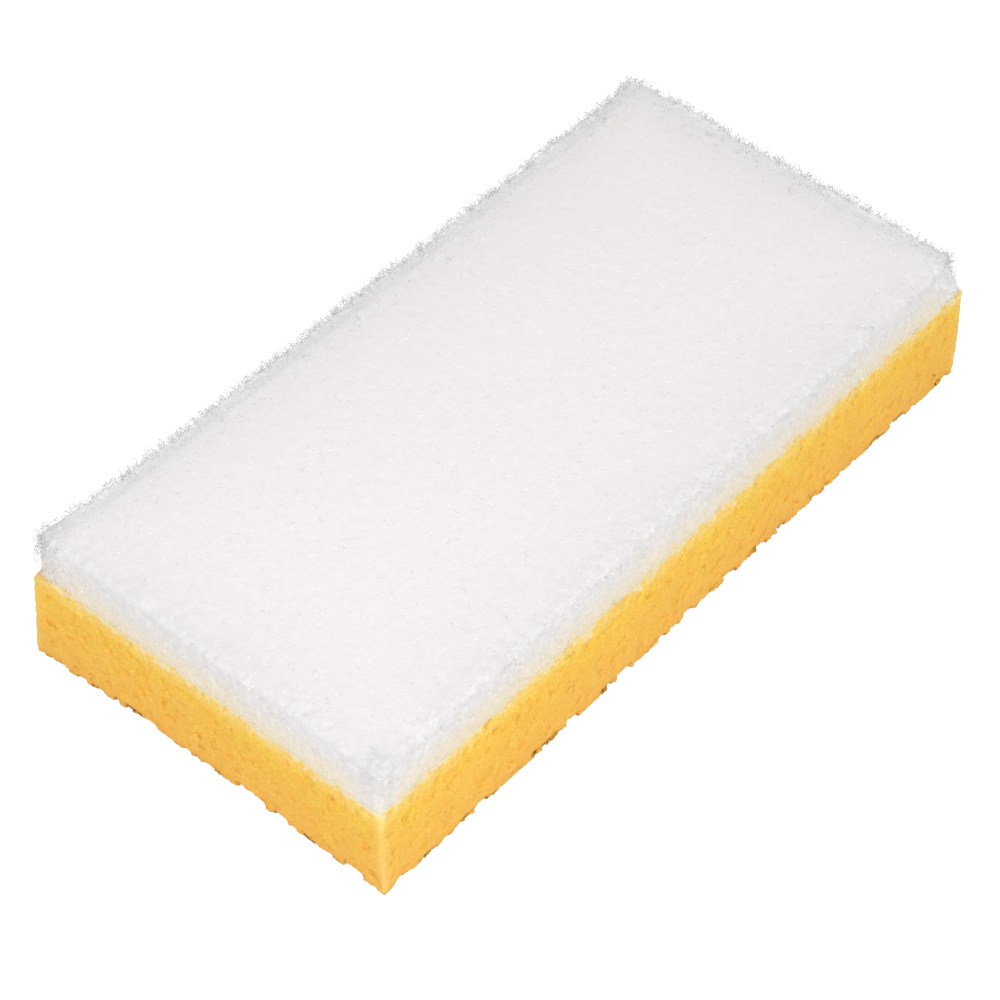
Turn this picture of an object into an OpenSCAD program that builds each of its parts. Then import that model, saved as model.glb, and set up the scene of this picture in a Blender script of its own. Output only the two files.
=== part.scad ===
// Wet-sanding sponge: an absorbent foam block with a lofted non-woven
// scouring pad bonded over its whole upper face.
// Frame: +X along the length, +Y across the width, +Z up.
// The origin is the middle of the block's underside. Units are millimetres.

/* [Foam block] */
// Length of the block
block_l = 229; // [100:1:300]
// Width of the block
block_w = 114; // [60:1:160]
// Thickness of the block
block_t = 30.5; // [12:0.5:60]
// Radius of the four upright cut corners
block_corner_r = 1.2; // [0.8:0.1:6]
// Radius of the eased lower edge
block_edge_r = 0.6; // [0.2:0.1:0.7]

/* [Scouring pad] */
// Thickness of the pad
pad_t = 14; // [5:0.5:30]
// How far the foot of the pad's cut wall stands in from the block's side
pad_inset = 0.4; // [0:0.1:3]
// How much further in the wall stands where its upper edge rolls over
pad_taper = 1.2; // [0:0.1:4]
// Radius of the pad's corners at its foot
pad_corner_r = 2; // [0.5:0.5:10]
// Radius of the roll along the pad's upper edge and round its upper corners
pad_roll_r = 3; // [0.5:0.5:4.5]

/* [Pores] */
// Pitch of the cells on the cut sides, each of which can hold one open pore
side_pitch = 5; // [5:0.5:20]
// Pitch of the cells on the underside
under_pitch = 8; // [5:0.5:20]
// Share of the cells that hold a pore
pore_share = 0.6; // [0.1:0.05:1]
// Radius of the smallest pore
pore_min_r = 0.4; // [0.3:0.1:0.9]
// Radius of the largest pore
pore_max_r = 1.4; // [1:0.1:1.8]
// Depth of a pore, as a share of its radius
pore_depth = 0.75; // [0.3:0.05:0.9]
// Number that picks one arrangement of the pores
pore_seed = 41; // [1:1:999]

/* [Hidden] */
$fn = 64;
roll_fn = 40;

// The pad's foot is drawn as a sheet this thick.
pad_foot_t = 0.1;

// Small pores outnumber large ones: a random share is raised to this power
// before it becomes a radius.
pore_skew = 1.6;
// Every pore keeps this far from the edge of its own cell.
pore_web = 0.2;
// The pore fields keep this far from the upright corners.
corner_margin = block_corner_r + block_edge_r;
// The first random row of each face is this far from that of the face before.
face_seed_step = 7;

// Rectangle of l by w with round corners, centred on the origin.
module round_rect(l, w, r) {
    square([l - 2 * r, w], center = true);
    square([l, w - 2 * r], center = true);
    for (x = [-1, 1], y = [-1, 1])
        translate([x * (l / 2 - r), y * (w / 2 - r)])
            circle(r = r);
}

// Upright section of the block, centred on X and standing on Y = 0. Only its
// lower corners are round.
module block_section(w) {
    translate([-w / 2, block_edge_r])
        square([w, block_t - block_edge_r]);
    translate([-w / 2 + block_edge_r, 0])
        square([w - 2 * block_edge_r, block_t]);
    for (x = [-1, 1])
        translate([x * (w / 2 - block_edge_r), block_edge_r])
            circle(r = block_edge_r);
}

// One upright corner of the block: half a section as wide as the corner, turned
// about the upright line through the corner's centre.
module block_corner() {
    rotate_extrude()
        intersection() {
            block_section(2 * block_corner_r);
            square([block_corner_r, block_t]);
        }
}

// The block before its pores are cut: a slab along each axis, and the corners.
module block_blank() {
    straight_l = block_l - 2 * block_corner_r;
    straight_w = block_w - 2 * block_corner_r;
    rotate([90, 0, 90])
        translate([0, 0, -straight_l / 2])
            linear_extrude(straight_l)
                block_section(block_w);
    rotate([90, 0, 0])
        translate([0, 0, -straight_w / 2])
            linear_extrude(straight_w)
                block_section(block_l);
    for (x = [-1, 1], y = [-1, 1])
        translate([x * straight_l / 2, y * straight_w / 2, 0])
            block_corner();
}

// Balls that open pores in a flat face of l by w, centred on the origin and
// facing +Z. Each ball stands out of the face, so that it cuts a shallow cap.
module pore_field(l, w, pitch, face) {
    columns = floor(l / pitch);
    rows = floor(w / pitch);
    cells = columns * rows;
    seed = pore_seed + face * face_seed_step;
    chance = rands(0, 1, cells, seed);
    size = rands(0, 1, cells, seed + 1);
    shift_x = rands(-1, 1, cells, seed + 2);
    shift_y = rands(-1, 1, cells, seed + 3);
    for (i = [0:1:columns - 1], j = [0:1:rows - 1]) {
        k = i * rows + j;
        r = pore_min_r + (pore_max_r - pore_min_r) * pow(size[k], pore_skew);
        room = pitch / 2 - r - pore_web;
        if (chance[k] < pore_share)
            translate([
                (i + 0.5 - columns / 2) * pitch + shift_x[k] * room,
                (j + 0.5 - rows / 2) * pitch + shift_y[k] * room,
                r * (1 - pore_depth)
            ])
                sphere(r = r);
    }
}

// The pore fields of the underside and of the four cut sides.
module pores() {
    field_l = block_l - 2 * corner_margin;
    field_w = block_w - 2 * corner_margin;
    field_t = block_t - 2 * block_edge_r;
    rotate([180, 0, 0])
        pore_field(field_l, field_w, under_pitch, 0);
    for (side = [0, 1])
        rotate([0, 0, side * 180]) {
            translate([0, -block_w / 2, block_t / 2])
                rotate([90, 0, 0])
                    pore_field(field_l, field_t, side_pitch, 1 + side);
            translate([block_l / 2, 0, block_t / 2])
                rotate([90, 0, 90])
                    pore_field(field_w, field_t, side_pitch, 3 + side);
        }
}

// Absorbent foam block, cut square, with its pores open on every bare face.
module foam_block() {
    color([0.96, 0.72, 0.28])
        difference() {
            block_blank();
            pores();
        }
}

// Ball with a vertex at each pole, so that a hull over it is exactly as tall
// as the ball.
module ball(r) {
    rotate_extrude()
        intersection() {
            circle(r = r);
            translate([0, -r])
                square([r, 2 * r]);
        }
}

// Lofted scouring pad, bonded to the block's whole upper face. Its wall is cut
// almost upright, from sharp corners at the foot, and its upper edge rolls over.
module scouring_pad() {
    foot_l = block_l - 2 * pad_inset;
    foot_w = block_w - 2 * pad_inset;
    ball_x = foot_l / 2 - pad_taper - pad_roll_r;
    ball_y = foot_w / 2 - pad_taper - pad_roll_r;
    color([0.95, 0.93, 0.93])
        translate([0, 0, block_t])
            hull() {
                linear_extrude(pad_foot_t)
                    round_rect(foot_l, foot_w, pad_corner_r, $fn = roll_fn);
                for (x = [-1, 1], y = [-1, 1])
                    translate([x * ball_x, y * ball_y, pad_t - pad_roll_r])
                        ball(pad_roll_r, $fn = roll_fn);
            }
}

foam_block();
scouring_pad();
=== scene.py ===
import math
from typing import NamedTuple

import bpy
import numpy as np
from mathutils import Matrix, Vector


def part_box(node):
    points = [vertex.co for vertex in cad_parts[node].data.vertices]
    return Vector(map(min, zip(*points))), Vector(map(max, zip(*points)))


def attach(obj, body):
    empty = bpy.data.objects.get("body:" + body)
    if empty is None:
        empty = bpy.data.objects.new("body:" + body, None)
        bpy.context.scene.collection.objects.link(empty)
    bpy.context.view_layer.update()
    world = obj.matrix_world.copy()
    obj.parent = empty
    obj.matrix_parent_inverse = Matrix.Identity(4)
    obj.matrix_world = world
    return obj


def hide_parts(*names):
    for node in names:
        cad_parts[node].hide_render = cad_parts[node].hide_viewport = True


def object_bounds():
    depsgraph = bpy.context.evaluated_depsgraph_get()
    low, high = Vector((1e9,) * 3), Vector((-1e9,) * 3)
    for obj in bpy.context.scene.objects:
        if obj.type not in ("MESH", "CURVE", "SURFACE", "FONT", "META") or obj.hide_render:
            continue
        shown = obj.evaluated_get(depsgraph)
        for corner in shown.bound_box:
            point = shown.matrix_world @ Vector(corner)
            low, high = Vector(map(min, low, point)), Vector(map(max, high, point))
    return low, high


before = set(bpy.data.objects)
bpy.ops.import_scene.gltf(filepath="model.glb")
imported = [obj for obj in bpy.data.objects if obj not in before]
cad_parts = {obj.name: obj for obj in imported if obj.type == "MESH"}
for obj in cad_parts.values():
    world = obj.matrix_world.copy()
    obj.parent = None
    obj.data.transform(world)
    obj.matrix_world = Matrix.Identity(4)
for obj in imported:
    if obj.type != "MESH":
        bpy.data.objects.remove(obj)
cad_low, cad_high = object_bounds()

# A wet-sanding sponge: a yellow foam block under a lofted white pad of curled fibres.
# Metres throughout, +X along the length, +Y across the width, +Z up. The near corner, as the
# camera sees it, is at the low ends of X and Y, and the left corner at the high end of Y.
# The pad's sides at the high ends of X and Y are its worn ones: more frayed, and greyer
# and cooler in colour, which is partly painted shade.
#
# A named pair that smoothstep takes runs from where an effect is 0 to where it is full.

MM = 0.001
SEED = 20
ROOT = "root"

FOAM_LOW, FOAM_HIGH = (np.array(corner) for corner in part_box("foam_block"))
_, PAD_HIGH = (np.array(corner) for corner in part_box("scouring_pad"))
BOND_Z = FOAM_HIGH[2]


def mm(*lengths):
    """The lengths in metres."""
    return tuple(length * MM for length in lengths)


# ---------------------------------------- noise

CELL_PRIMES = (73856093, 19349663, 83492791)
SEED_PRIME = 2654435761
MIX_STEPS = ((15, 739982445), (12, 695872825), (15, 2146121005))
LAST_SHIFT = 16


def lattice_random(cell, seed):
    """A number from 0 to 1 for each whole-number cell, the same on every run."""
    cell = cell.astype(np.int64).astype(np.uint32)
    mixed = np.full(cell.shape[:-1], seed * SEED_PRIME % 2 ** 32, dtype=np.uint32)
    for axis, prime in enumerate(CELL_PRIMES):
        mixed ^= cell[..., axis] * np.uint32(prime)
    for shift, factor in MIX_STEPS:
        mixed ^= mixed >> np.uint32(shift)
        mixed *= np.uint32(factor)
    mixed ^= mixed >> np.uint32(LAST_SHIFT)
    return mixed.astype(np.float64) / 2 ** 32


def value_noise(points, size, seed):
    """Smooth noise from -1 to 1 at (N, 3) points, with features about size across."""
    scaled = points / size
    cell = np.floor(scaled)
    part = scaled - cell
    part = part * part * (3 - 2 * part)
    total = np.zeros(len(points))
    for corner in np.ndindex(2, 2, 2):
        offset = np.array(corner)
        weight = np.prod(np.where(offset, part, 1 - part), axis=1)
        total += weight * lattice_random(cell + offset, seed)
    return total * 2 - 1


def smoothstep(low, high, value):
    """0 below low, 1 above high, and a smooth step between. low may be the larger."""
    t = np.clip((value - low) / (high - low), 0, 1)
    return t * t * (3 - 2 * t)


class Waves(NamedTuple):
    """Smooth random lumps: their height, their size across and their seed."""
    height: float
    size: float
    seed: int

    def at(self, points):
        return self.height * value_noise(points, self.size, self.seed)


class Pores(NamedTuple):
    """Ball-shaped pores in a cubic lattice: the size of its cells, a pore's least and most
    radius, the share of cells that hold one, the share of its depth that is cut, and its
    seed."""
    pitch: float
    least: float
    most: float
    share: float
    cut: float
    seed: int

    def depth(self, points, normals):
        """How far each point sinks along its normal, into the pore that it lies in."""
        deepest = np.zeros(len(points))
        home = np.floor(points / self.pitch)
        for step in np.ndindex(3, 3, 3):
            cell = home + np.array(step) - 1
            place = np.stack([lattice_random(cell, self.seed + k) for k in range(3)], axis=1)
            radius = self.least + (self.most - self.least) * lattice_random(cell, self.seed + 3) ** 2
            radius = np.where(lattice_random(cell, self.seed + 4) < self.share, radius, 0)
            away = points - (cell + place) * self.pitch
            along = np.einsum("ij,ij->i", away, normals)
            inside = along * along - np.einsum("ij,ij->i", away, away) + radius * radius
            reach = along + np.sqrt(np.clip(inside, 0, None))
            deepest = np.maximum(deepest, np.where((inside > 0) & (radius > 0), reach, 0))
        return self.cut * deepest


# ---------------------------------------- meshes

def mesh_of(name, vertices, loops, loop_counts):
    """A mesh from (N, 3) vertices, a flat list of corner indices and the corners per face."""
    mesh = bpy.data.meshes.new(name)
    mesh.vertices.add(len(vertices))
    mesh.vertices.foreach_set("co", np.asarray(vertices, dtype=np.float32).ravel())
    mesh.loops.add(len(loops))
    mesh.loops.foreach_set("vertex_index", np.asarray(loops, dtype=np.int32))
    mesh.polygons.add(len(loop_counts))
    starts = np.concatenate([[0], np.cumsum(loop_counts)[:-1]])
    mesh.polygons.foreach_set("loop_start", starts.astype(np.int32))
    mesh.polygons.foreach_set("loop_total", np.asarray(loop_counts, dtype=np.int32))
    mesh.update(calc_edges=True)
    return mesh


def add_object(name, data):
    piece = bpy.data.objects.new(name, data)
    bpy.context.scene.collection.objects.link(piece)
    return piece


def vertex_array(mesh, what="co"):
    values = np.empty(len(mesh.vertices) * 3, dtype=np.float32)
    mesh.vertices.foreach_get(what, values)
    return values.reshape(-1, 3).astype(np.float64)


def with_modifier(piece, kind, **settings):
    """Adds a modifier to the piece, applies it and leaves the result as its mesh."""
    modifier = piece.modifiers.new(kind, kind)
    for key, value in settings.items():
        setattr(modifier, key, value)
    graph = bpy.context.evaluated_depsgraph_get()
    made = bpy.data.meshes.new_from_object(piece.evaluated_get(graph))
    old = piece.data
    piece.modifiers.clear()
    piece.data = made
    made.name = piece.name
    bpy.data.meshes.remove(old)


def skin_of(node, name, voxel):
    """An even skin over a CAD node, as a new piece."""
    piece = add_object(name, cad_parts[node].data.copy())
    piece.data.materials.clear()
    with_modifier(piece, "REMESH", mode="VOXEL", voxel_size=voxel)
    return piece


def thin_to(piece, triangles):
    """Collapses edges, the flattest first, until the piece has that many triangles."""
    piece.data.calc_loop_triangles()
    ratio = triangles / len(piece.data.loop_triangles)
    if ratio < 1:
        with_modifier(piece, "DECIMATE", ratio=ratio)


def move_vertices(mesh, points):
    mesh.vertices.foreach_set("co", points.astype(np.float32).ravel())
    mesh.update()


def shade_smooth(mesh):
    mesh.polygons.foreach_set("use_smooth", np.ones(len(mesh.polygons), dtype=bool))


def add_tone(mesh, *channels):
    """Stores up to three numbers a vertex as the colour attribute tone, for the material."""
    tone = np.ones((len(mesh.vertices), 4), dtype=np.float32)
    tone[:, :3] = 0
    for k, channel in enumerate(channels):
        tone[:, k] = channel
    attribute = mesh.color_attributes.new("tone", "FLOAT_COLOR", "POINT")
    attribute.data.foreach_set("color", tone.ravel())


# ---------------------------------------- the foam block

FOAM_VOXEL = 0.5 * MM
FOAM_TRIANGLES = 180_000

FINE_PITS = Pores(0.95 * MM, 0.18 * MM, 0.42 * MM, 0.8, 0.17, SEED)
OPEN_PORES = Pores(3.6 * MM, 0.5 * MM, 1.2 * MM, 0.22, 0.13, SEED + 10)
TEARS = Pores(3.4 * MM, 0.8 * MM, 1.8 * MM, 0.6, 0.35, SEED + 15)
CHIPS = Pores(6.5 * MM, 1.4 * MM, 3.4 * MM, 0.6, 0.58, SEED + 16)
FOAM_GRAIN = Waves(0.05 * MM, 0.9 * MM, SEED + 20)
FOAM_LUMPS = Waves(0.04 * MM, 2.2 * MM, SEED + 21)
FOAM_CUT = Waves(0.20 * MM, 14 * MM, SEED + 22)
TORN_LUMPS = 4
FLAT_FOOT = 1 * MM

# How far each kind of roughness lies from the bond, the foot, the sides and the corners.
BARE_INSIDE = mm(3, 0.5)
BARE_BELOW_BOND = mm(0.3, 2)
TORN_ABOVE, TORN_INSIDE = mm(1.8, 0.2), mm(5, 1)
CHIPPED_ABOVE, CHIPPED_INSIDE = mm(3.0, 0.4), mm(7, 2)
CHIPPED_FROM_CORNER = mm(3, 12)
PORED_FROM_CORNER = mm(1.2, 4)
PORED_AT_CORNER = 0.3

# The top edge comes in by FLUSH, and dips at one corner.
FLUSH = 0.42 * MM
TUCKED_BELOW_BOND = mm(5, 0.5)
TUCKED_FROM_CORNER = mm(3, 9)
CORNER_DROP = 2.4 * MM
DROP_REACH = 6 * MM
DROP_DEPTH = 9 * MM

# The cut of the sides runs a little out of square.
FLARE = 1.7 * MM
FLARE_REACH = mm(45, 40)
FLARE_AT_BOND = 0.04
SHARPEN = 0.35 * MM
SHARPEN_REACH = 1.1 * MM
LEAN_END = 0.2 * MM
LEAN_SIDE = 0.45 * MM
LEAN_REACH = 20 * MM

# The foam's tones: how hollow a place is, for painted shade, and how near an upright
# corner, for a painted highlight.
HOLLOW_INSIDE = mm(0.1, 1.3)
OVERHANG_FACING = (0.05, 0.4)
OVERHANG_ABOVE = mm(9, 6)
OVERHANG_HOLLOW = 2
CORNER_HIGHLIGHT_REACH = 1.7 * MM


def foam_gaps(points):
    """The distance of each point inside the block's nearest end and its nearest long side."""
    gaps = np.minimum(points[:, :2] - FOAM_LOW[:2], FOAM_HIGH[:2] - points[:, :2])
    return gaps[:, 0], gaps[:, 1]


def corner_distance(points):
    """The distance in plan from each point to the nearest upright corner of the block."""
    return np.hypot(*foam_gaps(points))


def side_corners(points):
    """True in the quarters of the plan that hold the left and right corners."""
    return points[:, 0] * points[:, 1] < 0


def roughen_foam(points, normals):
    """The foam's open cells: fine pits, a few larger pores and a wavy cut. The lower edge is
    torn and chipped, and the upright corners stay crisp."""
    side, above = np.minimum(*foam_gaps(points)), points[:, 2] - FOAM_LOW[2]
    bare = smoothstep(*BARE_INSIDE, np.minimum(side, above))
    bare *= smoothstep(*BARE_BELOW_BOND, BOND_Z - points[:, 2])
    torn = smoothstep(*TORN_ABOVE, above) * smoothstep(*TORN_INSIDE, side)
    chipped = smoothstep(*CHIPPED_ABOVE, above) * smoothstep(*CHIPPED_INSIDE, side)
    chipped *= smoothstep(*CHIPPED_FROM_CORNER, corner_distance(points))
    pored = smoothstep(*PORED_FROM_CORNER, corner_distance(points))
    pored = PORED_AT_CORNER + (1 - PORED_AT_CORNER) * pored
    depth = np.maximum(FINE_PITS.depth(points, normals), OPEN_PORES.depth(points, normals))
    depth += TEARS.depth(points, normals) * torn
    depth = np.maximum(depth, CHIPS.depth(points, normals) * chipped)
    rough = FOAM_GRAIN.at(points) + FOAM_LUMPS.at(points) * (1 + TORN_LUMPS * torn)
    rough += FOAM_CUT.at(points) * (above > FLAT_FOOT)
    return points + normals * ((rough - depth * pored) * bare)[:, None]


def corner_drop(points):
    """How far the bond dips at the block's far left corner, where the foam is pressed down."""
    away = points[:, :2] - np.array([FOAM_LOW[0], FOAM_HIGH[1]])
    return CORNER_DROP * np.exp(-(np.linalg.norm(away, axis=1) / DROP_REACH) ** 2)


def tucked(points):
    """1 along the block's top edge, where it comes in flush with the fibre, and 0 below it
    and by the left and right corners."""
    top = smoothstep(*TUCKED_BELOW_BOND, BOND_Z - points[:, 2])
    away = smoothstep(*TUCKED_FROM_CORNER, corner_distance(points))
    return top * np.where(side_corners(points), away, 1)


def press_top(points):
    """The points with the block's top edge tucked in and its far left corner pressed down."""
    moved = points.copy()
    moved[:, :2] *= 1 - tucked(points)[:, None] * FLUSH / FOAM_HIGH[:2]
    moved[:, 2] -= corner_drop(points) * smoothstep(BOND_Z - DROP_DEPTH, BOND_Z, points[:, 2])
    return moved


def flare(points):
    """The slightly skew cut of the block's sides: its foot spreads at its far left corner and
    along its front, and its upright corners are sharp."""
    x, y, z = points.T
    near_x = smoothstep(FOAM_LOW[0] + FLARE_REACH[0], FOAM_LOW[0], x)
    near_y = smoothstep(FOAM_HIGH[1] - FLARE_REACH[1], FOAM_HIGH[1], y)
    foot = np.clip((BOND_Z - z) / (BOND_Z - FOAM_LOW[2]), 0, 1)
    spread = FLARE * near_x * near_y * (FLARE_AT_BOND + (1 - FLARE_AT_BOND) * foot)
    moved = points + np.stack([-spread, spread, np.zeros(len(points))], axis=1)
    sharp = SHARPEN * np.exp(-(corner_distance(points) / SHARPEN_REACH) ** 2) * (1 - tucked(points))
    moved[:, :2] += np.sign(points[:, :2]) * sharp[:, None]
    moved[:, 0] += LEAN_END * foot * smoothstep(FOAM_LOW[0] + LEAN_REACH, FOAM_LOW[0], x)
    moved[:, 1] -= LEAN_SIDE * foot * smoothstep(FOAM_LOW[1] + LEAN_REACH, FOAM_LOW[1], y)
    return moved


def make_foam_block():
    """The block's top is pressed before it is thinned, since its large flat triangles would
    tilt afterwards and open a crack at the bond."""
    piece = skin_of("foam_block", "foam_block_skin", FOAM_VOXEL)
    mesh = piece.data
    points = roughen_foam(vertex_array(mesh), vertex_array(mesh, "normal"))
    points[:, 2] = np.maximum(points[:, 2], FOAM_LOW[2])
    move_vertices(mesh, press_top(points))
    thin_to(piece, FOAM_TRIANGLES)
    mesh = piece.data
    points = vertex_array(mesh)
    points[:, 2] = np.maximum(points[:, 2], FOAM_LOW[2])
    move_vertices(mesh, flare(points))
    side = np.minimum(*foam_gaps(points)) - FLUSH * tucked(points)
    above = points[:, 2] - FOAM_LOW[2]
    # hollow is how deep a place lies in a pit, and more where it faces down near the foot: the material
    # paints shade by it.
    hollow = smoothstep(*HOLLOW_INSIDE, np.minimum(side, above))
    overhang = smoothstep(*OVERHANG_FACING, -vertex_array(mesh, "normal")[:, 2])
    hollow += OVERHANG_HOLLOW * overhang * smoothstep(*OVERHANG_ABOVE, above)
    height = above / (FOAM_HIGH[2] - FOAM_LOW[2])
    # corner is the nearness of an upright corner, where the material paints a highlight.
    corner = np.exp(-(corner_distance(points) / CORNER_HIGHLIGHT_REACH) ** 2)
    add_tone(mesh, hollow, height, corner)
    shade_smooth(mesh)
    return piece


# ---------------------------------------- the pad's shape and tones

PAD_TAPER = 1.2 * MM
PAD_ROLL = 3 * MM

# Where the top's soft border lies, in from the pad's sides, and where its edge does.
BORDER_START, BORDER_END = mm(15, 2)
EDGE_INSIDE = mm(9, 3)

# How near a corner counts as at it, and how sharply the worn sides take over.
CORNER_REACH, CORNER_CORE = mm(15, 3)
WORN_BLUR = 4 * MM
LARGEST_EXPONENT = 30

# The rim's grey, which is partly painted shade: on the top, its loss on the worn sides'
# edge and walls, and the painted shade of the other walls and by the corners.
RIM_LEVEL = 0.48
RIM_WIDTH, RIM_WIDTH_WORN = mm(4, 7.5)
RIM_FADE = 10.5 * MM
RIM_EDGE_LOSS, RIM_EDGE_INSIDE = 0.3, mm(4, 0)
RIM_WALL_LOSS = 0.7
FRONT_WALL_SHADE = 0.2
WARM_RIM_LOSS = 0.28
TURNED_FACING, UPRIGHT_FACING = (0.98, 0.7), (0.7, 0.2)
RIM_RISE, CORNER_RISE = mm(0, 6.5), mm(0, 5)
CORNER_SHADE, CORNER_GREY_AT_BOND = 0.95, 0.6
CORNER_GREY_REACH, CORNER_GREY_REACH_WORN, CORNER_GREY_CORE = mm(14, 21, 4)

# The cooler white of the worn sides, which is painted shade.
COOL_INSIDE = mm(13, 2)
COOL_FOOT, COOL_FOOT_LOSS = mm(8, 1), 0.7
COOL_LEFT_LOSS = 0.7

# The warmer white at the foot of the walls.
FOOT_RISE = mm(10.8, 0)
FOOT_CORNER_LOSS = 0.55


def pad_surface(points):
    """The signed distance of each point from the pad's outer surface, and the direction
    straight out of it. Below the bond the surface carries on down as an upright wall."""
    rise = np.clip((points[:, 2] - BOND_Z) / (PAD_HIGH[2] - PAD_ROLL - BOND_Z), 0, 1)
    half = (PAD_HIGH[:2] - PAD_ROLL)[None, :] - (rise * PAD_TAPER)[:, None]
    over = np.column_stack([np.abs(points[:, :2]) - half, points[:, 2] - (PAD_HIGH[2] - PAD_ROLL)])
    outside = np.maximum(over, 0)
    length = np.linalg.norm(outside, axis=1)
    deepest = over.max(axis=1)
    distance = np.where(length > 0, length, deepest) - PAD_ROLL
    nearest = np.eye(3)[over.argmax(axis=1)]
    direction = np.where((length > 0)[:, None], outside / np.maximum(length, 1e-9)[:, None], nearest)
    direction[:, :2] *= np.where(points[:, :2] < 0, -1, 1)
    return distance, direction


def height_share(points, span):
    """Runs from 0 to 1 over that span of height above the bond line."""
    return smoothstep(*span, points[:, 2] - BOND_Z)


def inside_pad(points):
    """The distance in plan from each point to the nearest side of the pad."""
    return np.min(PAD_HIGH[:2] - np.abs(points[:, :2]), axis=1)


def corner_gap(points):
    """The distance in plan from each point to the nearest upright corner of the pad."""
    return np.hypot(*(PAD_HIGH[:2] - np.abs(points[:, :2])).T)


def border_share(points):
    """0 on the middle of the pad's top, rising evenly over its border to 1 at its roll."""
    return np.clip((BORDER_START - inside_pad(points)) / (BORDER_START - BORDER_END), 0, 1)


def edge_share(points):
    """1 on the pad's walls and rolled edge, falling to 0 some way in on its flat top."""
    return smoothstep(*EDGE_INSIDE, inside_pad(points))


def corner_share(points, reach=CORNER_REACH):
    """1 down the pad's upright corners, falling to 0 at that reach from them in plan."""
    return smoothstep(reach, CORNER_CORE, corner_gap(points))


def side_corner(points):
    """corner_share at the left and right corners alone."""
    return corner_share(points) * side_corners(points)


def worn_and_shaded_side(points):
    """1 by the pad's sides at the high ends of X and Y and by every corner but the near one,
    0 by its other two sides, and between them elsewhere. Those sides are more frayed, and the
    colours paint shade on them as grey and a cool white."""
    low_gap = np.min(points[:, :2] + PAD_HIGH[:2], axis=1)
    high_gap = np.min(PAD_HIGH[:2] - points[:, :2], axis=1)
    nearer = np.clip((high_gap - low_gap) / WORN_BLUR, -LARGEST_EXPONENT, LARGEST_EXPONENT)
    return np.maximum(1 / (1 + np.exp(nearer)), side_corner(points))


def cool_shade_share(points):
    """1 along the pad's worn sides and on their walls, where its white is a cool one that is
    painted shade, and less at their foot and by the left corner."""
    left = side_corner(points) * (points[:, 0] < 0)
    foot = height_share(points, COOL_FOOT) * (1 - side_corner(points))
    share = worn_and_shaded_side(points) * smoothstep(*COOL_INSIDE, inside_pad(points))
    return share * (1 - COOL_LEFT_LOSS * left) * (1 - COOL_FOOT_LOSS * foot)


def rim_shade_share(points):
    """How grey the fibre is, which is partly painted shade: 0 on the middle of the pad's top,
    most along the upper edges of its worn sides and by its corners, and less on its other sides."""
    worn, inside = worn_and_shaded_side(points), inside_pad(points)
    width = RIM_WIDTH + (RIM_WIDTH_WORN - RIM_WIDTH) * worn
    rim = RIM_LEVEL * np.exp(-np.maximum(inside - width, 0) / RIM_FADE)
    rim *= 1 - RIM_EDGE_LOSS * worn * smoothstep(*RIM_EDGE_INSIDE, inside)
    _, out = pad_surface(points)
    turned = smoothstep(*TURNED_FACING, out[:, 2])
    upright = smoothstep(*UPRIGHT_FACING, out[:, 2])
    rim *= 1 - RIM_WALL_LOSS * turned * worn
    # Painted shade on the walls of the less worn sides.
    rim += FRONT_WALL_SHADE * (turned + upright) * (1 - worn)
    rim *= (1 - WARM_RIM_LOSS * (1 - cool_shade_share(points))) * height_share(points, RIM_RISE)
    # Painted shade by the upright corners.
    reach = CORNER_GREY_REACH + (CORNER_GREY_REACH_WORN - CORNER_GREY_REACH) * worn
    corner = CORNER_SHADE * smoothstep(reach, CORNER_GREY_CORE, corner_gap(points))
    corner *= CORNER_GREY_AT_BOND + (1 - CORNER_GREY_AT_BOND) * height_share(points, CORNER_RISE)
    return np.maximum(rim, corner)


def foot_share(points):
    """1 at the bond line on the pad's wall, falling to 0 near the top of it."""
    return height_share(points, FOOT_RISE) * (1 - FOOT_CORNER_LOSS * corner_share(points))


def add_pad_tone(mesh):
    points = vertex_array(mesh)
    add_tone(mesh, rim_shade_share(points), foot_share(points), cool_shade_share(points))


# ---------------------------------------- the pad's felted mass

PAD_VOXEL = 0.7 * MM
PAD_TRIANGLES = 120_000

# The soft pad swells a little off the even CAD shape, its roll squares up, its worn sides
# shrink, its top is thinner, and both undulate.
SWELL = 0.1 * MM
SQUARING = 0.45 * MM
THINNING = 0.10 * MM
SHRINK_SIDE = 1.7 * MM
SHRINK_END = 1.05 * MM
END_BLUR = 4 * MM
SHRINK_CORNER_LOSS = 0.4
LEFT_REACH = 30 * MM
EDGE_WAVES = (Waves(0.25 * MM, 4.5 * MM, SEED + 31), Waves(0.35 * MM, 9 * MM, SEED + 34))
TOP_WAVES = Waves(0.20 * MM, 25 * MM, SEED + 32)
UPPER_RISE = mm(0, 6)

# Its border sinks, its high end bulges at one place, and its left and right corners stand
# back along the diagonal by one length at the bond and by another at the top.
SINK = 1.0 * MM
SINK_RISE = (4 * MM, PAD_HIGH[2] - BOND_Z)
END_BULGE = 1.7 * MM
BULGE_Y = 34 * MM
BULGE_REACH = 11 * MM
BULGE_INSIDE = mm(14, 2)
PULL_RISE = mm(0, 11)
PULL_LEFT = mm(0.9, -0.2)
PULL_RIGHT = mm(0.2, 2.0)
DIAGONAL = math.sqrt(0.5)

# The felt's lumps on its face and edge, and the ragged skirt that hangs over the bond line.
FACE_LUMPS, EDGE_LUMPS = 0.07, 0.13
LUMPS = Waves(1 * MM, 1.5 * MM, SEED + 30)
LUMPY_RISE = mm(0.1, 1.2)
SKIRT_RISE = mm(2, 0.2)
SKIRT_INSIDE = mm(2.4, 0.8)
HANG = 0.5 * MM
HANG_WAVES = Waves(0.3 * MM, 2.2 * MM, SEED + 33)
FLATTEN = np.array([1, 1, 0.15])
SKIRT_OUT = 0.08 * MM
HEM_RISE = mm(0.35, 0)
HEM_IN = 0.17 * MM


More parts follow.
